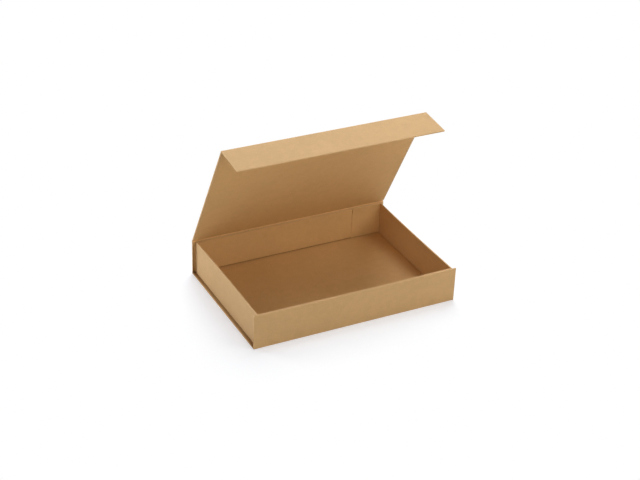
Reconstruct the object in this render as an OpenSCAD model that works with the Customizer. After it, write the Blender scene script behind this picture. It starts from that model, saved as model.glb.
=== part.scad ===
// Shallow gift box with a book-style case. The tray stands on the base board, and the
// spine, the lid and the closing flap fold on from the base board's back edge.
// X runs along the front, Y from the front to the back, Z up.
// The origin is the centre of the base board's underside.

/* [Case boards] */
// Length of every case board, along the front
case_w = 330; // [240:1:450]
// Depth from the front panel's outer face to the upright spine's outer face
case_d = 227; // [150:1:340]
// Thickness of a case board with its covering
board_t = 2; // [1.6:0.1:3]
// Set-back of a board's inner edge at a fold, beyond a true mitre
fold_relief = 0.1; // [0.05:0.05:0.5]

/* [Tray] */
// Height of the tray walls above the base board
wall_h = 53.5; // [40:0.5:90]
// Thickness of the tray walls
wall_t = 2; // [1.2:0.1:3]
// Length of case board that shows past the tray at each end
end_overhang = 5.4; // [2:0.1:10]
// Radius of the tray's outer corner folds
corner_r = 0.8; // [0.4:0.1:1.2]
// Height of the slit under the tray's back wall
foot_slit_h = 1.2; // [0.5:0.1:3]
// Length of the glue tab that laps the back wall's inner face
tab_len = 50; // [20:1:80]
// Thickness of the glue tab
tab_t = 0.6; // [0.4:0.1:1.2]
// Distance from the rim down to the glue tab's top edge
tab_drop = 0.5; // [0:0.1:2]
// Width of the notch at the glue tab's free top corner
tab_notch_w = 1.6; // [0.5:0.1:4]
// Height of the notch at the glue tab's free top corner
tab_notch_h = 10; // [4:0.5:20]

/* [Clearances] */
// Gap between the tray's back wall and the upright spine
spine_gap = 0.6; // [0.3:0.1:3]
// Gap between the tray's rim and the closed lid
lid_gap = 0.3; // [0.1:0.1:2]
// Gap between the front panel and the closed flap
flap_gap = 1.5; // [0.2:0.1:4]
// Height of the closed flap's free edge above the table
flap_lift = 2.5; // [1:0.5:15]

/* [Pose] */
// Angle that the lid stands open, from flat on the tray
lid_open = 61.5; // [20:0.5:88]
// Angle that the flap stands open, from square to the lid
flap_open = 22.8; // [0:0.1:60]

/* [Closure] */
// Diameter of a flap magnet
magnet_d = 15; // [8:0.5:20]
// Diameter of a steel strike plate
strike_d = 16; // [8:0.5:22]
// Distance from the end of the case to a magnet's centre
magnet_inset = 75; // [20:1:100]
// Height of the strike plates' centres above the table
strike_z = 28; // [20:0.5:30]
// Covering left over a magnet or strike plate on each side
skin_t = 0.3; // [0.2:0.05:0.5]
// Clearance between a magnet or strike plate and its pocket
pocket_gap = 0.15; // [0.1:0.05:0.25]

/* [Hidden] */
$fn = 64;

front_y = -case_d / 2;
back_y = case_d / 2;
mitre = board_t + fold_relief;

rim_z = board_t + wall_h;
spine_h = rim_z + lid_gap + board_t;
lid_l = case_d + flap_gap + board_t;
flap_l = spine_h - flap_lift;

tray_w = case_w - 2 * end_overhang;
tray_front_y = front_y + board_t;
tray_back_y = back_y - board_t - spine_gap;
tray_d = tray_back_y - tray_front_y;
tray_inner_w = tray_w - 2 * wall_t;
foot_z = board_t + foot_slit_h;
tab_free_x = tray_inner_w / 2 - tab_len;

pocket_t = board_t - 2 * skin_t;
disc_t = pocket_t - 2 * pocket_gap;
magnet_x = case_w / 2 - magnet_inset;

kraft_outer = [0.76, 0.6, 0.42];
kraft_inner = [0.63, 0.47, 0.3];
nickel = [0.78, 0.78, 0.76];
zinc_steel = [0.66, 0.67, 0.68];

// Outlines of the case boards in the Y-Z plane, with a mitre at every fold.
// The lid's outline starts at its fold with the spine and is drawn closed.
// The flap's outline starts at its fold with the lid and hangs down.
base_outline = [[front_y, 0], [back_y, 0], [back_y - mitre, board_t],
    [front_y + mitre, board_t]];
front_outline = [[front_y, 0], [front_y + board_t, mitre], [front_y + board_t, rim_z],
    [front_y, rim_z]];
spine_outline = [[back_y, 0], [back_y, spine_h], [back_y - board_t, spine_h - mitre],
    [back_y - board_t, mitre]];
lid_outline = [[0, 0], [-lid_l, 0], [mitre - lid_l, -board_t], [-mitre, -board_t]];
flap_outline = [[0, 0], [0, -flap_l], [board_t, -flap_l], [board_t, -mitre]];

// Draws an outline in the Y-Z plane and gives it a length along X, centred
module along_x(length)
    rotate([90, 0, 90])
        linear_extrude(length, center = true)
            children();

// A round disc that stands with its axis along Y
module disc(d, t)
    rotate([90, 0, 0])
        cylinder(d = d, h = t, center = true);

// Frame of the open lid, with the spine fold as its origin
module in_lid()
    translate([0, back_y, spine_h])
        rotate([-lid_open, 0, 0])
            children();

// Frame of the open flap, with the lid fold as its origin
module in_flap()
    in_lid()
        translate([0, -lid_l, 0])
            rotate([-flap_open, 0, 0])
                children();

// Centre of a flap magnet, in the flap's frame
module at_magnet(side)
    translate([side * magnet_x, board_t / 2, strike_z - spine_h])
        children();

// Centre of a strike plate
module at_strike(side)
    translate([side * magnet_x, front_y + board_t / 2, strike_z])
        children();

module base_panel()
    color(kraft_inner)
        along_x(case_w)
            polygon(base_outline);

module front_panel()
    color(kraft_outer)
        difference() {
            along_x(case_w)
                polygon(front_outline);
            for (side = [-1, 1])
                at_strike(side)
                    disc(strike_d + 2 * pocket_gap, pocket_t);
        }

module spine_panel()
    color(kraft_outer)
        along_x(case_w)
            polygon(spine_outline);

module lid_panel()
    color(kraft_outer)
        in_lid()
            along_x(case_w)
                polygon(lid_outline);

module closing_flap()
    color(kraft_outer)
        in_flap()
            difference() {
                along_x(case_w)
                    polygon(flap_outline);
                for (side = [-1, 1])
                    at_magnet(side)
                        disc(magnet_d + 2 * pocket_gap, pocket_t);
            }

// Plan of the tray's four walls, with rounded outer corners
module wall_plan()
    difference() {
        translate([0, (tray_front_y + tray_back_y) / 2]) {
            square([tray_w - 2 * corner_r, tray_d], center = true);
            square([tray_w, tray_d - 2 * corner_r], center = true);
            for (sx = [-1, 1], sy = [-1, 1])
                translate([sx * (tray_w / 2 - corner_r), sy * (tray_d / 2 - corner_r)])
                    circle(corner_r);
        }
        translate([-tray_inner_w / 2, tray_front_y + wall_t])
            square([tray_inner_w, tray_d - 2 * wall_t]);
    }

// Face of the glue tab in the X-Z plane, with a notch at its free top corner
module tab_face()
    polygon([
        [tab_free_x, foot_z],
        [tray_inner_w / 2, foot_z],
        [tray_inner_w / 2, rim_z - tab_drop],
        [tab_free_x + tab_notch_w, rim_z - tab_drop],
        [tab_free_x, rim_z - tab_drop - tab_notch_h]
    ]);

// One strip of board, folded at three corners and closed by the glue tab
module tray_frame()
    color(kraft_inner) {
        difference() {
            translate([0, 0, board_t])
                linear_extrude(wall_h)
                    wall_plan();
            translate([-tray_inner_w / 2, tray_back_y - 2 * wall_t, 0])
                cube([tray_inner_w, 3 * wall_t, foot_z]);
        }
        translate([0, tray_back_y - wall_t, 0])
            rotate([90, 0, 0])
                linear_extrude(tab_t)
                    tab_face();
    }

module flap_magnet(side)
    color(nickel)
        in_flap()
            at_magnet(side)
                disc(magnet_d, disc_t);

module strike_plate(side)
    color(zinc_steel)
        at_strike(side)
            disc(strike_d, disc_t);

base_panel();
front_panel();
spine_panel();
lid_panel();
closing_flap();
tray_frame();
flap_magnet(-1);  // flap_magnet_left
flap_magnet(1);  // flap_magnet_right
strike_plate(-1);  // strike_plate_left
strike_plate(1);  // strike_plate_right
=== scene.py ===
import math

import bmesh
import bpy
from mathutils import Matrix, Vector


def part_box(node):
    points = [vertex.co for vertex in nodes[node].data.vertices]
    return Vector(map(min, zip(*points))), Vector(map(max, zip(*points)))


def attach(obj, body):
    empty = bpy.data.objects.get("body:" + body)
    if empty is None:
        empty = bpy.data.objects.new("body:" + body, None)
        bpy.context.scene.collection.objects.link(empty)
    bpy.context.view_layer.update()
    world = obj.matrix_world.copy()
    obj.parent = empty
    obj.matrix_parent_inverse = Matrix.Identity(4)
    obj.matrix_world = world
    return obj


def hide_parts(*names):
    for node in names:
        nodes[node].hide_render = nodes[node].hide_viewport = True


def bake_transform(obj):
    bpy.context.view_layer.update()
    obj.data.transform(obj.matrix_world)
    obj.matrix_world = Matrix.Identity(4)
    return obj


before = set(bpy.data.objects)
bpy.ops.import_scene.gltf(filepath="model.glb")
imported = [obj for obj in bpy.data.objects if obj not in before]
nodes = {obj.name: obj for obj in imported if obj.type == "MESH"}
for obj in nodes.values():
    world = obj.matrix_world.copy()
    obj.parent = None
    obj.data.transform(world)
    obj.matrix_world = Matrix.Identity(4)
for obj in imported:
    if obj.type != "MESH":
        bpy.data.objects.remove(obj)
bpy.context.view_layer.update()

MM = 0.001
SHEET = "sheet"
# The edge attribute marks worn folds and corners, and a painted highlight in the fold grooves and, in
# part, on the rims
EDGE = "edge"
# The glue attribute holds painted shade: paper painted darker in the lip, the overhangs, the corners
# by the folds and over the slit under the back wall
PAINTED_SHADE = "glue"

# Corners nearer than this are one corner, and a foot raised by more than this is over the slit
SAME_POINT = 0.01 * MM
LEAST_SLIT = 0.1 * MM

# The camera of the photograph
CAMERA_AZIMUTH = -27.79
CAMERA_ELEVATION = 29.96
CAMERA_ROLL = 2.23
CAMERA_DISTANCE = 2.2624
CAMERA_LENS = 84.33
CAMERA_TARGET = Vector((0, 2, 33)) * MM
CAMERA_SLIDE = Vector((-2.6, 41.04)) * MM

# Paper on the case boards: its thickness, the rounding of a wrapped edge, and how far a lining
# stays back from an edge and from a fold's groove
PAPER = 0.12 * MM
BOARD_EDGE = 0.45 * MM
LINING_MARGIN = 3.0 * MM
LINING_AT_FOLD = 0.5 * MM

# Outer paper round a fold: how far its bend and its flanks reach, how deep it lies in the
# boards' own paper, its tightest inner bend, and how much shorter it is than the boards
FOLD_SPAN = 0.45 * MM
FOLD_REACH = 0.9 * MM
FOLD_SINK = 0.03 * MM
FOLD_INNER_RADIUS = 0.1 * MM
FOLD_SHORTER = 0.1 * MM
FOLD_COLUMNS = 25
FOLD_CORNER_STEPS = 8

# How far the groove inside a fold reaches from the fold line
GROOVE_WIDTH = 2.0 * MM

# Where each sheet was cut from its roll, so that no two show the same pattern, and how far
# the pattern moves along the sheet round a board's edge, as a share of the depth
LINING_SHEET = (0.21, 0.9)
STRIP_SHEET = (0.4, 1.6)
TAB_SHEET = (2.1, 0.3)
SHEET_SKEW = 0.4

# How far edge wear reaches, where the meshes have a row of points for it, and the share of a
# face's length that these rows may take at each end
WEAR_REACH = 5.0 * MM
WEAR_ROWS = (1.0 * MM, 2.5 * MM, 5.0 * MM)
WEAR_SHARE = 0.3

# Painted shade where shade falls by the joints: how far the paper is painted darker from a joint,
# across an overhang, along it, and below a rim, and how strongly
PAINTED_SHADE_ACROSS = 2.0 * MM
PAINTED_SHADE_ALONG = 30.0 * MM
PAINTED_SHADE_RIM = 12.0 * MM
PAINTED_SHADE_STRENGTH = 0.6

# The folded tray strip. The bows are how far the walls' rims bend, halfway along
WALL = 2.0 * MM
RIM_ROUND = 0.5 * MM
CORNER_ROUND = 0.8 * MM
INNER_CORNER = 0.35 * MM
SIDE_BOW = 1.0 * MM
FRONT_BOW = 1.1 * MM
BOW_RISE = 1.5

# Columns and rows of a board's or wall's mesh, and steps round a corner or over a rim
PANEL_COLUMNS = 24
PANEL_ROWS = 6
ROUND_STEPS = 4

# The glue tab inside the back wall, and the open end of the joint behind its notch
TAB_LIFT = 0.3 * MM
TAB_LIFT_REACH = 4.0 * MM
TAB_ROWS = 12
TAB_COLUMNS_MM = (0, 0.5, 1, 1.6, 2.5, 4, 8, 16, 32)
TAB_SHORTER = 0.05 * MM
TAB_PRESS = 0.02 * MM
TAB_ROUND = 0.06 * MM
JOINT_SET_BACK = 0.1 * MM
JOINT_WIDTH = 1.1 * MM
JOINT_DEPTH = 1.6 * MM
JOINT_FALL = 9.5 * MM
STEEP = 0.02 * MM

# Tones of the kraft paper as shares of its pulp, how far fibres and shives show, the depth of
# its tooth, and its gloss
PALE_PULP = (1.035, 1.035, 1.035)
DARK_PULP = (0.955, 0.955, 0.955)
SHIVE_TONE = (0.5, 0.5, 0.5)
FIBRE_TONE = (1.0, 0.86, 0.68, 1)
# Paler paper on worn folds and corners, a painted highlight in fold grooves, and partly one on rims
WORN_AND_LIT_TONE = (1.32, 1.38, 1.5)
# Painted shade: the paper's darker tone where shade falls by the joints
PAINTED_SHADE_TONE = (0.36, 0.25, 0.12)
FIBRES = 0.1
SHIVES = 0.3
TOOTH = 0.05 * MM
PAPER_GLOSS = 0.12

# Tone of a plating's dull crystals, how much of it shows, and the height of its grain
DULL_CRYSTAL = 0.86
CRYSTAL_SHARE = 0.7
GRAIN_HEIGHT = 0.01 * MM

# The soft lamps round the table: name, azimuth, elevation, distance, width, watts and colour
LAMP_AIM = Vector((0, 0, 80)) * MM
LAMPS = (
    ("overhead", 0, 88, 1.6, 0.9, 3.7, (1, 1, 1)),
    ("back_right", 150, 60, 1.9, 1.4, 26.0, (0.955, 0.98, 1)),
    ("back_left", -135, 15, 1.6, 0.7, 12.6, (1, 1, 1)),
    ("left", -90, 15, 1.6, 0.7, 3.8, (0.99, 1, 0.96)),
    ("front", 0, 15, 1.6, 0.7, 6.7, (1, 0.92, 0.74)),
    ("front_right", 45, 40, 1.9, 1.4, 10.9, (1, 0.98, 0.9)),
)

# The white table. The camera sees its shade and glow near the box, and plain white beyond
FLOOR_HALF = 6
FLOOR_DROP = 0.05 * MM
FLOOR_WHITE = (0.8, 0.8, 0.8, 1)
FLOOR_SHADE = (0.715, 0.745, 0.785, 1)
FLOOR_GLOW = (0.365, 0.37, 0.4, 1)
SHADOW_FADE = 85 * MM

CASE_BOARDS = ("front_panel", "base_panel", "spine_panel", "lid_panel", "closing_flap")
CASE_BODIES = ("tray", "tray", "spine", "lid", "flap")

base_low, base_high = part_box("base_panel")
tray_low, tray_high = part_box("tray_frame")
case_half = base_high.x
slit_top = min(v.co.z for v in nodes["tray_frame"].data.vertices
               if v.co.z > tray_low.z + LEAST_SLIT)


def point_camera():
    """A camera at the photograph's angle, turned a little about its own line of sight."""
    azimuth, elevation, roll = map(math.radians, (CAMERA_AZIMUTH, CAMERA_ELEVATION, CAMERA_ROLL))
    back = Vector((math.sin(azimuth) * math.cos(elevation),
                   -math.cos(azimuth) * math.cos(elevation),
                   math.sin(elevation)))
    level_right = (-back).cross(Vector((0, 0, 1))).normalized()
    level_up = level_right.cross(-back)
    right = level_right * math.cos(roll) + level_up * math.sin(roll)
    up = level_up * math.cos(roll) - level_right * math.sin(roll)
    place = Matrix((right, up, back)).transposed().to_4x4()
    place.translation = (CAMERA_TARGET + back * CAMERA_DISTANCE
                         + right * CAMERA_SLIDE.x + up * CAMERA_SLIDE.y)
    data = bpy.data.cameras.new("photo_camera")
    data.lens = CAMERA_LENS
    camera = bpy.data.objects.new("photo_camera", data)
    camera.matrix_world = place
    bpy.context.scene.collection.objects.link(camera)
    bpy.context.scene.camera = camera


def link(mesh, name):
    """A new piece at the origin with this mesh, put in the scene."""
    piece = bpy.data.objects.new(name, mesh)
    bpy.context.scene.collection.objects.link(piece)
    return piece


def baked(piece):
    """The piece with its modifiers made part of a plain mesh."""
    graph = bpy.context.evaluated_depsgraph_get()
    mesh = bpy.data.meshes.new_from_object(piece.evaluated_get(graph))
    piece.modifiers.clear()
    piece.data = mesh
    return piece


def finished(mesh, name, papers, body, stands_for):
    """Turns a bmesh into a piece with soft edges and flat faces, puts it on its body and hides the
    part it stands for.
    """
    data = bpy.data.meshes.new(name)
    mesh.to_mesh(data)
    mesh.free()
    for paper in papers:
        data.materials.append(paper)
    for face in data.polygons:
        face.use_smooth = True
    piece = link(data, name)
    weighted = piece.modifiers.new("flat_faces", "WEIGHTED_NORMAL")
    weighted.weight = 100
    return handed_over(baked(piece), body, stands_for)


def handed_over(piece, body, stands_for=None):
    """Puts a piece on the empty of the body that carries it, and hides the part it stands for."""
    if body:
        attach(piece, body)
    if stands_for:
        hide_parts(stands_for)
    return piece


# Case boards


class Board:
    """A case board seen from its end, in the Y-Z plane, with its place on the unfolded sheet."""

    def __init__(self, node, sheet_start):
        self.folds = (node != CASE_BOARDS[0], node != CASE_BOARDS[-1])
        corners = []
        for vertex in nodes[node].data.vertices:
            corner = Vector((vertex.co.y, vertex.co.z))
            at_end = vertex.co.x > case_half - SAME_POINT
            if at_end and all((corner - seen).length > SAME_POINT for seen in corners):
                corners.append(corner)
        middle = sum(corners, Vector((0, 0))) / len(corners)
        self.corners = sorted(corners, key=lambda c: math.atan2(c.y - middle.y, c.x - middle.x))
        sides = list(zip(self.corners, self.corners[1:] + self.corners[:1]))
        sides.sort(key=lambda side: (side[0] - side[1]).length)
        self.start, self.end = sides[-1]
        self.inner = sides[-2]
        self.along = (self.end - self.start).normalized()
        self.inwards = Vector((-self.along.y, self.along.x))
        self.length = (self.end - self.start).length
        self.sheet_start = sheet_start

    def depth(self, point):
        """How far a point is inwards from the outer face."""
        return (Vector(point[1:]) - self.start).dot(self.inwards)

    def along_face(self, point):
        """How far a point is along the outer face, from its first fold or edge."""
        return (Vector(point[1:]) - self.start).dot(self.along)

    def to_fold(self, point):
        """How far a point is from the nearest fold, along the outer face."""
        across = self.along_face(point)
        to_start = across if self.folds[0] else self.length
        to_end = self.length - across if self.folds[1] else self.length
        return max(min(to_start, to_end), 0)

    def on_sheet(self, point):
        """Where a point lies on the wrapping sheet laid out flat."""
        depth = self.depth(point)
        along = self.sheet_start + self.along_face(point)
        return Vector((point.x + depth, along + SHEET_SKEW * depth))


def map_sheet(mesh, faces, place):
    """Writes where each corner of the faces lies on the paper laid out flat, in metres."""
    layer = mesh.loops.layers.uv.get(SHEET) or mesh.loops.layers.uv.new(SHEET)
    for face in faces:
        for loop in face.loops:
            loop[layer].uv = place(loop.vert.co)


def mark(mesh, name, value):
    """Writes a value at every point, held between 0 and 1."""
    layer = mesh.verts.layers.float.get(name) or mesh.verts.layers.float.new(name)
    for vertex in mesh.verts:
        vertex[layer] = min(max(value(vertex), 0), 1)


def wear(distance):
    """1 at an edge, falling to 0 where wear ends."""
    return 1 - distance / WEAR_REACH


def prism(mesh, outline, half_length):
    """Adds a closed prism along X, and returns its faces."""
    ends = [[mesh.verts.new((x, p.x, p.y)) for p in outline] for x in (-half_length, half_length)]
    count = len(outline)
    faces = [mesh.faces.new(reversed(ends[0])), mesh.faces.new(ends[1])]
    for i in range(count):
        j = (i + 1) % count
        faces.append(mesh.faces.new((ends[0][i], ends[0][j], ends[1][j], ends[1][i])))
    return faces


def cut(mesh, point, normal):
    """Adds a line of points all round a mesh where a plane crosses it."""
    everything = mesh.verts[:] + mesh.edges[:] + mesh.faces[:]
    bmesh.ops.bisect_plane(mesh, geom=everything, plane_co=point, plane_no=normal)


def stations(length, count):
    """Distances along a face, with the rows that edge wear needs close to both ends."""
    near = [d for d in WEAR_ROWS if d < WEAR_SHARE * length]
    first, last = near[-1], length - near[-1]
    between = [first + (last - first) * i / count for i in range(1, count)]
    return near + between + [length - d for d in reversed(near)]


def case_board(name, board, body, lining=None, lining_half=None, bowed=False):
    """A wrapped board. lining holds its sheet's margins at the inner face's two ends."""
    mesh = bmesh.new()
    prism(mesh, board.corners, case_half)
    bmesh.ops.bevel(mesh, geom=mesh.edges[:], offset=BOARD_EDGE, segments=3, profile=0.5,
                    affect="EDGES", clamp_overlap=True)
    for d in stations(2 * case_half, PANEL_COLUMNS):
        cut(mesh, (d - case_half, 0, 0), (1, 0, 0))
    for d in stations(board.length, PANEL_ROWS):
        point = board.start + board.along * d
        cut(mesh, (0, point.x, point.y), (0, board.along.x, board.along.y))
    map_sheet(mesh, mesh.faces, board.on_sheet)

    def in_groove(point):
        at_mitre = board.to_fold(point) < GROOVE_WIDTH + BOARD_EDGE
        return at_mitre and board.depth(point) > BOARD_EDGE

    def wear_and_groove_highlight(vertex):
        across = board.along_face(vertex.co)
        ends = min(across, board.length - across)
        # Inside a fold's groove on the spine, lid and flap the mark is full: a painted highlight. On
        # the tray's inner faces by a fold it is left out
        if board.depth(vertex.co) > BOARD_EDGE and board.to_fold(vertex.co) < WEAR_REACH:
            ends = WEAR_REACH if body == "tray" or not in_groove(vertex.co) else 0
        return wear(min(case_half - abs(vertex.co.x), ends))

    # Painted shade: the inner faces of the base, front and spine are painted darker across the lip
    # and the overhangs, fading towards the rim, and near a fold
    def painted_shade_line(vertex):
        if body in ("lid", "flap") or board.depth(vertex.co) < BOARD_EDGE:
            return 0
        overhang = case_half - abs(vertex.co.x)
        along = board.along_face(vertex.co)
        to_joint = along if body == "spine" else board.to_fold(vertex.co)
        to_rim = {"front_panel": along, "spine_panel": board.length - along}.get(name, PAINTED_SHADE_RIM)
        at_wall = PAINTED_SHADE_STRENGTH * min(overhang / PAINTED_SHADE_ACROSS, 1) * min(to_rim / PAINTED_SHADE_RIM, 1)
        return at_wall + PAINTED_SHADE_STRENGTH * max(1 - to_joint / PAINTED_SHADE_ALONG, 0)

    mark(mesh, EDGE, wear_and_groove_highlight)
    mark(mesh, PAINTED_SHADE, painted_shade_line)
    for face in mesh.faces:
        middle = face.calc_center_median()
        at_end = abs(middle.x) > case_half - BOARD_EDGE
        if body != "tray" and in_groove(middle) and not at_end:
            face.material_index = 1
    if lining:
        add_lining(mesh, board, lining, lining_half or case_half - LINING_MARGIN)
    if bowed:
        for vertex in mesh.verts:
            vertex.co.y -= front_bow(vertex.co.x, vertex.co.z)
    bmesh.ops.recalc_face_normals(mesh, faces=mesh.faces)
    return finished(mesh, name + "_wrapped", (CASE_PAPER, LINING_PAPER), body, name)


def add_lining(mesh, board, margins, half_length):
    """The lining sheet is set back from the board's edges and stands a paper's height proud."""
    start, end = board.inner
    along = (end - start).normalized()
    outwards = Vector((along.y, -along.x))
    a = start + along * margins[0]
    b = end - along * margins[1]
    outline = [a - outwards * PAPER, b - outwards * PAPER, b + outwards * PAPER, a + outwards * PAPER]
    faces = prism(mesh, outline, half_length)
    for face in faces:
        face.material_index = 1

    def place(point):
        return board.on_sheet(point) + Vector(LINING_SHEET)

    map_sheet(mesh, faces, place)


# Folds


def set_up_tree(name, inputs):
    """An empty Geometry Nodes tree with its named inputs."""
    tree = bpy.data.node_groups.new(name, "GeometryNodeTree")
    tree.interface.new_socket("Geometry", in_out="INPUT", socket_type="NodeSocketGeometry")
    for label, kind in inputs:
        tree.interface.new_socket(label, in_out="INPUT", socket_type="NodeSocket" + kind)
    tree.interface.new_socket("Geometry", in_out="OUTPUT", socket_type="NodeSocketGeometry")
    return tree


def wire(tree, kind, inputs=None, **settings):
    """Adds a node, sets its options and joins or fills its inputs by name."""
    node = tree.nodes.new(kind)
    for option, value in settings.items():
        setattr(node, option, value)
    for socket, value in (inputs or {}).items():
        if isinstance(value, bpy.types.NodeSocket):
            tree.links.new(value, node.inputs[socket])
        else:
            node.inputs[socket].default_value = value
    return node


def fold_paper_tree():
    """Sweeps a paper's section, drawn flat with sharp corners, along a fold."""
    tree = set_up_tree("fold_paper", (("Fold Length", "Float"), ("Columns", "Int"),
                                      ("Corner Steps", "Int"), ("Paper", "Material")))
    given = tree.nodes.new("NodeGroupInput").outputs
    outline = wire(tree, "GeometryNodeMeshToCurve", {"Mesh": given["Geometry"]})
    rounding = wire(tree, "GeometryNodeInputNamedAttribute", {"Name": "rounding"},
                    data_type="FLOAT")
    section = wire(tree, "GeometryNodeFilletCurve",
                   {"Curve": outline.outputs[0], "Count": given["Corner Steps"],
                    "Radius": rounding.outputs[0], "Limit Radius": True}, mode="POLY")
    length = wire(tree, "ShaderNodeCombineXYZ", {"Z": given["Fold Length"]})
    half = wire(tree, "ShaderNodeVectorMath", {0: length.outputs[0], 1: (0.5, 0.5, 0.5)},
                operation="MULTIPLY")
    back = wire(tree, "ShaderNodeVectorMath", {0: half.outputs[0], 1: (-1, -1, -1)},
                operation="MULTIPLY")
    line = wire(tree, "GeometryNodeCurvePrimitiveLine",
                {"Start": back.outputs[0], "End": half.outputs[0]})
    path = wire(tree, "GeometryNodeResampleCurve",
                {"Curve": line.outputs[0], "Count": given["Columns"]})
    paper = wire(tree, "GeometryNodeCurveToMesh",
                 {"Curve": path.outputs[0], "Profile Curve": section.outputs[0],
                  "Fill Caps": True})
    turned = wire(tree, "GeometryNodeTransform",
                  {"Geometry": paper.outputs[0],
                   "Rotation": (math.pi / 2, 0, math.pi / 2)})
    real = wire(tree, "GeometryNodeRealizeInstances", {"Geometry": turned.outputs[0]})
    dressed = wire(tree, "GeometryNodeSetMaterial",
                   {"Geometry": real.outputs[0], "Material": given["Paper"]})
    wire(tree, "NodeGroupOutput", {"Geometry": dressed.outputs[0]})
    return tree


def fill_inputs(modifier, **values):
    """Sets a Geometry Nodes modifier's inputs by their names in small letters."""
    for item in modifier.node_group.interface.items_tree:
        label = item.name.replace(" ", "_").lower()
        if item.in_out == "INPUT" and label in values:
            modifier[item.identifier] = values[label]


def fold_paper(tree, before, after, bodies, name):
    """The outer paper round the fold between two boards."""
    fold = before.end
    to_before, to_after = -before.along, after.along
    half_turn = 0.5 * before.along.angle(after.along)
    radius = FOLD_SPAN / math.tan(half_turn)
    inner_corner = (before.inwards + after.inwards).normalized() * PAPER / math.cos(half_turn)
    section = [
        (fold + to_before * FOLD_REACH + before.inwards * FOLD_SINK, 0),
        (fold, radius),
        (fold + to_after * FOLD_REACH + after.inwards * FOLD_SINK, 0),
        (fold + to_after * FOLD_REACH + after.inwards * (FOLD_SINK + PAPER), 0),
        (fold + inner_corner, max(radius - PAPER, FOLD_INNER_RADIUS)),
        (fold + to_before * FOLD_REACH + before.inwards * (FOLD_SINK + PAPER), 0),
    ]
    count = len(section)
    data = bpy.data.meshes.new(name)
    data.from_pydata([(*point, 0) for point, _ in section],
                     [(i, (i + 1) % count) for i in range(count)], [])
    rounding = data.attributes.new("rounding", "FLOAT", "POINT")
    rounding.data.foreach_set("value", [r for _, r in section])
    piece = link(data, name)
    sweep = piece.modifiers.new("sweep", "NODES")
    sweep.node_group = tree
    fill_inputs(sweep, fold_length=2 * case_half - FOLD_SHORTER, columns=FOLD_COLUMNS,
                corner_steps=FOLD_CORNER_STEPS, paper=CASE_PAPER)
    baked(piece)

    def place(point):
        across = Vector(point[1:]) - fold
        length = min(across.dot(before.along), 0) + max(across.dot(after.along), 0)
        return Vector((point.x, after.sheet_start + length))

    mesh = bmesh.new()
    mesh.from_mesh(piece.data)
    bmesh.ops.recalc_face_normals(mesh, faces=mesh.faces)
    map_sheet(mesh, mesh.faces, place)
    mesh.normal_update()
    inwards = Vector((0, *(before.inwards + after.inwards)))
    mark(mesh, EDGE, lambda vertex: vertex.normal.dot(inwards) < 0)
    for face in mesh.faces:
        face.smooth = len(face.verts) == 4
    mesh.to_mesh(piece.data)
    mesh.free()
    if bodies[0] == bodies[1]:
        return handed_over(piece, bodies[0])
    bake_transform(piece)
    return handed_over(piece, None)


# Tray strip


def rise(z):
    """How far up the tray wall a height is, from 0 at its foot to 1 at its rim."""
    return min(max((z - tray_low.z) / (tray_high.z - tray_low.z), 0), 1)


def front_bow(x, z):
    """How far the front panel and the wall behind it bend outwards."""
    return FRONT_BOW * math.cos(0.5 * math.pi * x / case_half) * rise(z) ** BOW_RISE


def side_bow(y, z):
    """How far the tray's end walls bend inwards."""
    across = (y - tray_low.y) / (tray_high.y - tray_low.y)
    return SIDE_BOW * math.sin(math.pi * min(max(across, 0), 1)) * rise(z) ** BOW_RISE


def rounded_loop(low, high, radius, distances):
    """Points round a rectangle: its four rounded corners and the stations between them."""
    centres = [(high.x - radius, low.y + radius, -90), (high.x - radius, high.y - radius, 0),
               (low.x + radius, high.y - radius, 90), (low.x + radius, low.y + radius, 180)]
    corners = []
    for x, y, start in centres:
        angles = [math.radians(start + 90 * i / ROUND_STEPS) for i in range(ROUND_STEPS + 1)]
        corners.append([Vector((x + radius * math.cos(a), y + radius * math.sin(a)))
                        for a in angles])
    loop = []
    for corner, following in zip(corners, corners[1:] + corners[:1]):
        loop += corner
        span = following[0] - corner[-1]
        loop += [corner[-1] + span * d for d in distances]
    return loop


def wall_section():
    """Round the wall from its outer foot: share of the way to the inner face, and height."""
    foot, rim = tray_low.z, tray_high.z
    height = rim - RIM_ROUND - foot
    turn = RIM_ROUND / WALL
    heights = [foot] + [foot + d for d in stations(height, PANEL_ROWS)] + [rim - RIM_ROUND]
    heights += [rim - JOINT_FALL, rim - JOINT_FALL - STEEP]
    heights.sort()
    outer = [(0, z) for z in heights]
    quarter = [math.radians(90 * i / ROUND_STEPS) for i in range(1, ROUND_STEPS)]
    over = [(turn * (1 - math.cos(a)), rim - RIM_ROUND * (1 - math.sin(a))) for a in quarter]
    over.append((turn, rim))
    across = outer + over
    return across + [(1 - share, z) for share, z in reversed(across)]


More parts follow.
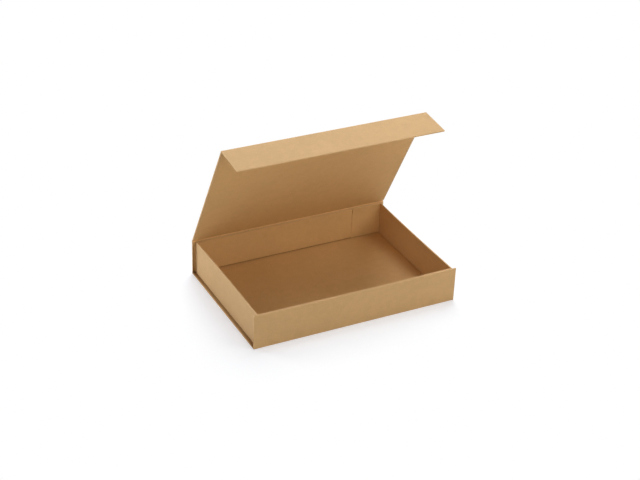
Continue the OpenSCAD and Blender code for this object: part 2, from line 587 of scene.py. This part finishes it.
def tray_strip():
    """The four walls as one strip of board, folded at the corners and slit under its back."""
    low, high = Vector(tray_low[:2]), Vector(tray_high[:2])
    step = Vector((WALL, WALL))
    length = 0.5 * (high.x - low.x + high.y - low.y)
    distances = [d / length for d in stations(length, PANEL_COLUMNS)]
    joint_left = tab_sizes()[0] + JOINT_SET_BACK
    joint_right = joint_left + JOINT_WIDTH
    inner_half = high.x - WALL - INNER_CORNER
    for x in (joint_left - STEEP, joint_left, joint_right, joint_right + STEEP):
        distances.append(0.5 * (1 - x / inner_half))
    distances.sort()
    outer = rounded_loop(low, high, CORNER_ROUND, distances)
    inner = rounded_loop(low + step, high - step, INNER_CORNER, distances)
    section = wall_section()
    slit_end = high.x - WALL
    lengths = [0]
    for a, b in zip(outer, outer[1:] + outer[:1]):
        lengths.append(lengths[-1] + (b - a).length)
    mesh = bmesh.new()
    edges = mesh.verts.layers.float.new(EDGE)
    glued = mesh.verts.layers.float.new(PAINTED_SHADE)
    rings = []
    for a, b in zip(outer, inner):
        raised = a.y > high.y - SAME_POINT and abs(a.x) < slit_end
        at_joint = raised and joint_left - 0.5 * STEEP < b.x < joint_right + 0.5 * STEEP
        ring = []
        for share, z in section:
            p = a.lerp(b, share)
            if at_joint and share > 0.5 and z > tray_high.z - JOINT_FALL - 0.5 * STEEP:
                p.y = max(p.y, high.y - WALL + JOINT_DEPTH)
            if high.x - abs(p.x) < WALL + SIDE_BOW:
                p.x -= math.copysign(side_bow(p.y, z), p.x)
            elif p.y < low.y + WALL + FRONT_BOW:
                p.y -= front_bow(p.x, z)
            foot = slit_top if raised else tray_low.z
            ring.append(mesh.verts.new((p.x, p.y, max(z, foot))))
        rings.append(ring)
    layer = mesh.loops.layers.uv.new(SHEET)
    run = [0]
    for (_, za), (_, zb) in zip(section, section[1:] + section[:1]):
        run.append(run[-1] + abs(zb - za) + (WALL if za == zb == tray_high.z else 0))
    count = len(section)
    # The lining starts on the inner face, half of the rounding past the rim's middle
    past_rim = count // 2 + ROUND_STEPS // 2
    for n, (ring, following) in enumerate(zip(rings, rings[1:] + rings[:1])):
        for i in range(count):
            j = (i + 1) % count
            face = mesh.faces.new((ring[i], ring[j], following[j], following[i]))
            places = [(n, i), (n, i + 1), (n + 1, i + 1), (n + 1, i)]
            for loop, (column, row) in zip(face.loops, places):
                loop[layer].uv = (lengths[column] + STRIP_SHEET[0], run[row] + STRIP_SHEET[1])
            face.material_index = 1 if i > past_rim else 0
    for ring, p in zip(rings, outer):
        to_corner = max(high.x - abs(p.x), min(p.y - low.y, high.y - p.y))
        foot = min(vertex.co.z for vertex in ring)
        for vertex in ring:
            # Corners and the rim are marked as worn; on the rim the paler paper is partly a painted
            # highlight
            distance = min(to_corner - CORNER_ROUND, tray_high.z - vertex.co.z)
            vertex[edges] = min(max(wear(distance), 0), 1)
            # Painted shade: the wall's foot over the slit under the back wall is painted dark
            over_slit = foot > tray_low.z and vertex.co.z < foot + LEAST_SLIT
            vertex[glued] = 1.0 if over_slit else 0.0
    bmesh.ops.recalc_face_normals(mesh, faces=mesh.faces)
    return finished(mesh, "tray_strip", (TRAY_PAPER, TRAY_LINING), "tray",
                    "tray_frame")


def tab_sizes():
    """The glue tab's free end, notch and faces, read from the CAD strip's own corners."""
    inner_face = tray_high.y - WALL
    half_inside = tray_high.x - WALL
    points = [v.co for v in nodes["tray_frame"].data.vertices
              if abs(v.co.x) < half_inside - 1 * MM and v.co.y > inner_face - 2 * MM
              and v.co.y < inner_face - 0.05 * MM]
    free_x = min(p.x for p in points)
    foot = min(p.z for p in points)
    top = max(p.z for p in points)
    shoulder = max(p.z for p in points if p.x < free_x + SAME_POINT)
    notch_x = min(p.x for p in points if p.z > top - SAME_POINT)
    return free_x, notch_x, foot, shoulder, top, min(p.y for p in points), inner_face


def glue_tab():
    """The strip's glued end laps the back wall, and its free edge stands a little off it."""
    free_x, notch_x, foot, shoulder, top, front, wall = tab_sizes()
    right = tray_high.x - WALL - TAB_SHORTER
    columns = [*TAB_COLUMNS_MM, (right - free_x) / MM]
    mesh = bmesh.new()
    thick = 0.5 * (wall - front)
    sheet = []
    for d in columns:
        x = free_x + d * MM
        share = min((x - free_x) / (notch_x - free_x), 1)
        head = shoulder + (top - shoulder) * share
        lift = TAB_LIFT * max(1 - d * MM / TAB_LIFT_REACH, 0) ** 2
        heights = [foot + (head - foot) * i / TAB_ROWS for i in range(TAB_ROWS + 1)]
        sheet.append([mesh.verts.new((x, wall - lift - 0.5 * thick + TAB_PRESS, z))
                      for z in heights])
    for left, following in zip(sheet, sheet[1:]):
        for i in range(TAB_ROWS):
            mesh.faces.new((left[i], following[i], following[i + 1], left[i + 1]))
    data = bpy.data.meshes.new("glue_tab")
    map_sheet(mesh, mesh.faces, lambda p: Vector((p.x + TAB_SHEET[0], p.z + TAB_SHEET[1])))
    mark(mesh, EDGE, lambda vertex: wear(min(vertex.co.x - free_x, top - vertex.co.z)))
    mesh.to_mesh(data)
    mesh.free()
    data.materials.append(TRAY_LINING)
    piece = link(data, "glue_tab")
    solid = piece.modifiers.new("paper", "SOLIDIFY")
    solid.thickness = thick
    solid.offset = 0
    rounded = piece.modifiers.new("edges", "BEVEL")
    rounded.width = TAB_ROUND
    rounded.segments = 2
    return handed_over(baked(piece), "tray")


# Finishes


def shader_group(name, inputs, outputs):
    """An empty shader group with named sockets and their usual values."""
    tree = bpy.data.node_groups.new(name, "ShaderNodeTree")
    for label, kind, value in inputs:
        socket = tree.interface.new_socket(label, in_out="INPUT", socket_type="NodeSocket" + kind)
        if value is not None:
            socket.default_value = value
    for label, kind in outputs:
        tree.interface.new_socket(label, in_out="OUTPUT", socket_type="NodeSocket" + kind)
    return tree, tree.nodes.new("NodeGroupInput").outputs


def reckon(tree, operation, a, b=0.0):
    """One step of arithmetic on values or sockets."""
    return wire(tree, "ShaderNodeMath", {0: a, 1: b}, operation=operation).outputs[0]


def step_between(tree, value, low, high, first=0.0, last=1.0):
    """A smooth step of a value from one level to another."""
    node = wire(tree, "ShaderNodeMapRange",
                {"Value": value, "From Min": low, "From Max": high,
                 "To Min": first, "To Max": last}, interpolation_type="SMOOTHSTEP")
    return node.outputs["Result"]


def noise(tree, vector, scale, detail=2.0, roughness=0.5):
    """A cloudy pattern from 0 to 1."""
    node = wire(tree, "ShaderNodeTexNoise",
                {"Vector": vector, "Scale": scale, "Detail": detail, "Roughness": roughness})
    return node.outputs["Fac"]


def stretched(tree, vector, along, across):
    """The sheet drawn out, so that a pattern on it turns into streaks."""
    place = wire(tree, "ShaderNodeMapping", {"Vector": vector, "Scale": (along, across, 1)})
    return place.outputs[0]


def tint(tree, factor, first, last, mode="MIX"):
    """A mix of two colours by a factor."""
    node = wire(tree, "ShaderNodeMix", data_type="RGBA", blend_type=mode)
    for socket, value in ((node.inputs[0], factor), (node.inputs[6], first),
                          (node.inputs[7], last)):
        if isinstance(value, bpy.types.NodeSocket):
            tree.links.new(value, socket)
        else:
            socket.default_value = value
    return node.outputs[2]


def kraft_pulp_group():
    """Unbleached paper: cloudy pulp, rolled streaks, curled fibres, dark shives, fine tooth."""
    tree, given = shader_group(
        "kraft_pulp",
        (("Sheet", "Vector", None), ("Pale Pulp", "Color", None), ("Dark Pulp", "Color", None),
         ("Shive", "Color", None), ("Fibres", "Float", FIBRES), ("Shives", "Float", SHIVES)),
        (("Colour", "Color"), ("Roughness", "Float"), ("Height", "Float")))
    sheet = given["Sheet"]
    drift = noise(tree, sheet, 16.0, 2.0)
    clouds = noise(tree, sheet, 90.0, 3.0, 0.6)
    flocks = noise(tree, sheet, 420.0, 3.0, 0.6)
    tooth = noise(tree, sheet, 3600.0, 2.0)
    streaks = noise(tree, stretched(tree, sheet, 0.02, 1.0), 700.0, 2.0)
    threads = noise(tree, stretched(tree, sheet, 0.4, 1.0), 1300.0, 1.0)
    chips = noise(tree, stretched(tree, sheet, 0.35, 1.0), 1100.0, 0.0)

    parts = ((drift, 0.3), (clouds, 0.35), (flocks, 0.2), (streaks, 0.15))
    mottle = reckon(tree, "MULTIPLY", parts[0][0], parts[0][1])
    for pattern, share in parts[1:]:
        mottle = reckon(tree, "ADD", mottle, reckon(tree, "MULTIPLY", pattern, share))
    dark = step_between(tree, mottle, 0.38, 0.62)
    off_line = reckon(tree, "ABSOLUTE", reckon(tree, "SUBTRACT", threads, 0.5))
    fibres = step_between(tree, off_line, 0.0, 0.035, 1.0, 0.0)
    shives = step_between(tree, chips, 0.78, 0.82)

    colour = tint(tree, dark, given["Pale Pulp"], given["Dark Pulp"])
    colour = tint(tree, reckon(tree, "MULTIPLY", fibres, given["Fibres"]), colour, FIBRE_TONE,
                  "SCREEN")
    colour = tint(tree, reckon(tree, "MULTIPLY", shives, given["Shives"]), colour,
                  given["Shive"])
    height = reckon(tree, "ADD", reckon(tree, "MULTIPLY", tooth, 0.5),
                    reckon(tree, "MULTIPLY", flocks, 0.8))
    height = reckon(tree, "ADD", height, reckon(tree, "MULTIPLY", fibres, 0.25))
    wire(tree, "NodeGroupOutput",
         {"Colour": colour, "Roughness": step_between(tree, flocks, 0.3, 0.7, 0.64, 0.78),
          "Height": height})
    return tree


def worn_and_lit_edge_group():
    """Paper worn pale and fuzzy along folds, rims and corners; on the rims this is partly, and in the
    fold grooves wholly, a painted highlight.
    """
    tree, given = shader_group(
        "rubbed_edges",
        (("Sheet", "Vector", None), ("Edge", "Float", 0.0), ("Colour", "Color", None),
         ("Worn And Lit Paper", "Color", None), ("Wear", "Float", 0.5)),
        (("Colour", "Color"),))
    sheet = given["Sheet"]
    scuffs = noise(tree, sheet, 160.0, 3.0, 0.65)
    fuzz = noise(tree, sheet, 1500.0, 2.0)
    ragged = reckon(tree, "ADD", reckon(tree, "MULTIPLY", scuffs, 0.3),
                    reckon(tree, "MULTIPLY", fuzz, 0.12))
    reach = reckon(tree, "ADD", given["Edge"], reckon(tree, "SUBTRACT", ragged, 0.21))
    mask = reckon(tree, "MULTIPLY", step_between(tree, reach, 0.72, 1.02), given["Wear"])
    wire(tree, "NodeGroupOutput",
         {"Colour": tint(tree, mask, given["Colour"], given["Worn And Lit Paper"])})
    return tree


def painted_shade_line_group():
    """Painted shade: paper painted darker along the joints where shade falls, strongest at the joint
    itself.
    """
    tree, given = shader_group(
        "glue_lines",
        (("Sheet", "Vector", None), ("Glue", "Float", 0.0), ("Colour", "Color", None),
         ("Shaded Paper", "Color", None)),
        (("Colour", "Color"),))
    spread = noise(tree, given["Sheet"], 260.0, 2.0)
    uneven = reckon(tree, "MULTIPLY", given["Glue"],
                    step_between(tree, spread, 0.3, 0.7, 0.82, 1.0))
    wire(tree, "NodeGroupOutput",
         {"Colour": tint(tree, uneven, given["Colour"], given["Shaded Paper"])})
    return tree


def kraft_paper(name, pulp, wear_and_highlight):
    """A kraft paper of its own tone, drawn on the sheet laid out flat."""
    material = bpy.data.materials.new(name)
    material.use_nodes = True
    tree = material.node_tree
    shader = tree.nodes["Principled BSDF"]
    sheet = wire(tree, "ShaderNodeUVMap", uv_map=SHEET).outputs[0]
    edge = wire(tree, "ShaderNodeAttribute", attribute_name=EDGE).outputs["Fac"]
    # The glue attribute holds painted shade
    glue = wire(tree, "ShaderNodeAttribute", attribute_name=PAINTED_SHADE).outputs["Fac"]

    def shade(tone):
        return (*(c * t for c, t in zip(pulp, tone)), 1)

    paper = wire(tree, "ShaderNodeGroup", node_tree=KRAFT_PULP)
    worn_and_lit = wire(tree, "ShaderNodeGroup", node_tree=WORN_AND_LIT_EDGES)
    shaded_paper = wire(tree, "ShaderNodeGroup", node_tree=PAINTED_SHADE_LINES)
    tree.links.new(sheet, paper.inputs["Sheet"])
    paper.inputs["Pale Pulp"].default_value = shade(PALE_PULP)
    paper.inputs["Dark Pulp"].default_value = shade(DARK_PULP)
    paper.inputs["Shive"].default_value = shade(SHIVE_TONE)
    paper.inputs["Fibres"].default_value = FIBRES
    paper.inputs["Shives"].default_value = SHIVES
    # Worn edges, with a painted highlight on rims and in fold grooves
    tree.links.new(sheet, worn_and_lit.inputs["Sheet"])
    tree.links.new(edge, worn_and_lit.inputs["Edge"])
    tree.links.new(paper.outputs["Colour"], worn_and_lit.inputs["Colour"])
    worn_and_lit.inputs["Worn And Lit Paper"].default_value = shade(WORN_AND_LIT_TONE)
    worn_and_lit.inputs["Wear"].default_value = wear_and_highlight
    # Painted shade is mixed over the paper where the glue attribute marks it
    tree.links.new(sheet, shaded_paper.inputs["Sheet"])
    tree.links.new(glue, shaded_paper.inputs["Glue"])
    tree.links.new(worn_and_lit.outputs["Colour"], shaded_paper.inputs["Colour"])
    shaded_paper.inputs["Shaded Paper"].default_value = shade(PAINTED_SHADE_TONE)
    bump = wire(tree, "ShaderNodeBump", {"Height": paper.outputs["Height"], "Distance": TOOTH})
    tree.links.new(shaded_paper.outputs["Colour"], shader.inputs["Base Color"])
    tree.links.new(paper.outputs["Roughness"], shader.inputs["Roughness"])
    tree.links.new(bump.outputs[0], shader.inputs["Normal"])
    shader.inputs["Specular IOR Level"].default_value = PAPER_GLOSS
    return material


def plated_metal(name, tone, flake_scale, low, high):
    """Metal plating with fine crystals. low and high are its roughness from flake to flake."""
    material = bpy.data.materials.new(name)
    material.use_nodes = True
    tree = material.node_tree
    shader = tree.nodes["Principled BSDF"]
    place = wire(tree, "ShaderNodeTexCoord").outputs["Object"]
    flakes = wire(tree, "ShaderNodeTexVoronoi", {"Vector": place, "Scale": flake_scale}).outputs
    grain = noise(tree, place, 6 * flake_scale)
    flake = wire(tree, "ShaderNodeSeparateColor", {"Color": flakes["Color"]}).outputs[0]
    dull = (*(DULL_CRYSTAL * c for c in tone), 1)
    colour = tint(tree, reckon(tree, "MULTIPLY", flake, CRYSTAL_SHARE), (*tone, 1), dull)
    bump = wire(tree, "ShaderNodeBump", {"Height": grain, "Distance": GRAIN_HEIGHT})
    tree.links.new(colour, shader.inputs["Base Color"])
    tree.links.new(step_between(tree, flake, 0.0, 1.0, low, high), shader.inputs["Roughness"])
    tree.links.new(bump.outputs[0], shader.inputs["Normal"])
    shader.inputs["Metallic"].default_value = 1.0
    return material


# The table, the room and the lamps


def seen_directly(tree):
    """1 for rays that come from the camera, straight or through gloss or glass."""
    path = tree.nodes.new("ShaderNodeLightPath").outputs
    seen = reckon(tree, "MAXIMUM", path["Is Camera Ray"], path["Is Glossy Ray"])
    return reckon(tree, "MAXIMUM", seen, path["Is Transmission Ray"])


def white_floor():
    """A white floor that shows as a white page and keeps the object's soft shadow."""
    mesh = bpy.data.meshes.new("floor")
    half, below = FLOOR_HALF, -FLOOR_DROP
    mesh.from_pydata([(-half, -half, below), (half, -half, below), (half, half, below),
                      (-half, half, below)], [], [(0, 1, 2, 3)])
    material = bpy.data.materials.new("white_floor")
    material.use_nodes = True
    tree = material.node_tree
    tree.nodes.clear()
    seen = seen_directly(tree)
    place = wire(tree, "ShaderNodeTexCoord").outputs["Object"]
    outside = wire(tree, "ShaderNodeVectorMath", {0: place}, operation="ABSOLUTE").outputs[0]
    for operation, value in (("SUBTRACT", (base_high.x, base_high.y, 1)), ("MAXIMUM", (0, 0, 0))):
        outside = wire(tree, "ShaderNodeVectorMath", {0: outside, 1: value},
                       operation=operation).outputs[0]
    away = wire(tree, "ShaderNodeVectorMath", {0: outside}, operation="LENGTH").outputs["Value"]
    far = reckon(tree, "MINIMUM", reckon(tree, "DIVIDE", away, SHADOW_FADE), 1.0)
    near_shade = tint(tree, far, FLOOR_SHADE, (0, 0, 0, 1))
    shade = wire(tree, "ShaderNodeBsdfDiffuse", {"Color": tint(tree, seen, FLOOR_WHITE, near_shade)})
    page = wire(tree, "ShaderNodeEmission",
                {"Color": tint(tree, far, FLOOR_GLOW, (1, 1, 1, 1)), "Strength": seen})
    both = wire(tree, "ShaderNodeAddShader", {0: shade.outputs[0], 1: page.outputs[0]})
    wire(tree, "ShaderNodeOutputMaterial", {"Surface": both.outputs[0]})
    mesh.materials.append(material)
    link(mesh, "floor")


def soft_lamp(name, azimuth, elevation, distance, width, watts, colour):
    """A round soft lamp that faces the box. Azimuth 0 is in front and 90 to the right."""
    a, e = math.radians(azimuth), math.radians(elevation)
    away = Vector((math.sin(a) * math.cos(e), -math.cos(a) * math.cos(e), math.sin(e)))
    data = bpy.data.lights.new(name, "AREA")
    data.shape = "DISK"
    data.size = width
    data.energy = watts
    data.color = colour
    lamp = bpy.data.objects.new(name, data)
    lamp.location = LAMP_AIM + away * distance
    lamp.rotation_euler = away.to_track_quat("Z", "Y").to_euler()
    bpy.context.scene.collection.objects.link(lamp)


def white_room():
    """The world: white where it is seen, and no light on the box."""
    world = bpy.data.worlds.new("white_room")
    world.use_nodes = True
    bpy.context.scene.world = world
    tree = world.node_tree
    light = tree.nodes["Background"]
    light.inputs["Color"].default_value = (1, 1, 1, 1)
    tree.links.new(seen_directly(tree), light.inputs["Strength"])


# The scene

point_camera()

KRAFT_PULP = kraft_pulp_group()
# Worn edges with painted highlights, and painted shade by the joints
WORN_AND_LIT_EDGES = worn_and_lit_edge_group()
PAINTED_SHADE_LINES = painted_shade_line_group()
# The last value sets how pale marked edges get: worn paper, partly a painted highlight on rims; the
# lining's full value shows only in the fold grooves, as a painted highlight
CASE_PAPER = kraft_paper("case_kraft", (0.62, 0.4, 0.2), wear_and_highlight=0.35)
LINING_PAPER = kraft_paper("lining_kraft", (0.64, 0.392, 0.174), wear_and_highlight=1.0)
TRAY_PAPER = kraft_paper("tray_kraft", (0.62, 0.4, 0.2), wear_and_highlight=0.6)
TRAY_LINING = kraft_paper("tray_lining_kraft", (0.64, 0.392, 0.174), wear_and_highlight=0.2)
NICKEL = plated_metal("nickel_plating", (0.72, 0.70, 0.66), 1800.0, 0.22, 0.36)
ZINC = plated_metal("zinc_plating", (0.62, 0.64, 0.66), 420.0, 0.3, 0.5)

boards = {}
sheet_run = 0.0
for board_name in CASE_BOARDS:
    boards[board_name] = Board(board_name, sheet_run)
    sheet_run += boards[board_name].length

case_board("front_panel", boards["front_panel"], "tray", bowed=True)
case_board("base_panel", boards["base_panel"], "tray", lining=(LINING_AT_FOLD, WALL),
           lining_half=tray_high.x - WALL - 0.1 * MM)
case_board("spine_panel", boards["spine_panel"], "spine", lining=(LINING_AT_FOLD, LINING_AT_FOLD))
case_board("lid_panel", boards["lid_panel"], "lid", lining=(LINING_AT_FOLD, LINING_AT_FOLD))
case_board("closing_flap", boards["closing_flap"], "flap", lining=(LINING_MARGIN, LINING_AT_FOLD))

FOLD_TREE = fold_paper_tree()
for i, fold_name in enumerate(("front_fold", "spine_fold", "lid_fold", "flap_fold")):
    fold_paper(FOLD_TREE, boards[CASE_BOARDS[i]], boards[CASE_BOARDS[i + 1]],
               CASE_BODIES[i:i + 2], fold_name)

tray_strip()
glue_tab()

for side in ("left", "right"):
    nodes["flap_magnet_" + side].material_slots[0].material = NICKEL
    nodes["strike_plate_" + side].material_slots[0].material = ZINC

white_floor()
white_room()
for lamp in LAMPS:
    soft_lamp(*lamp)
bpy.context.scene.view_settings.view_transform = "Standard"
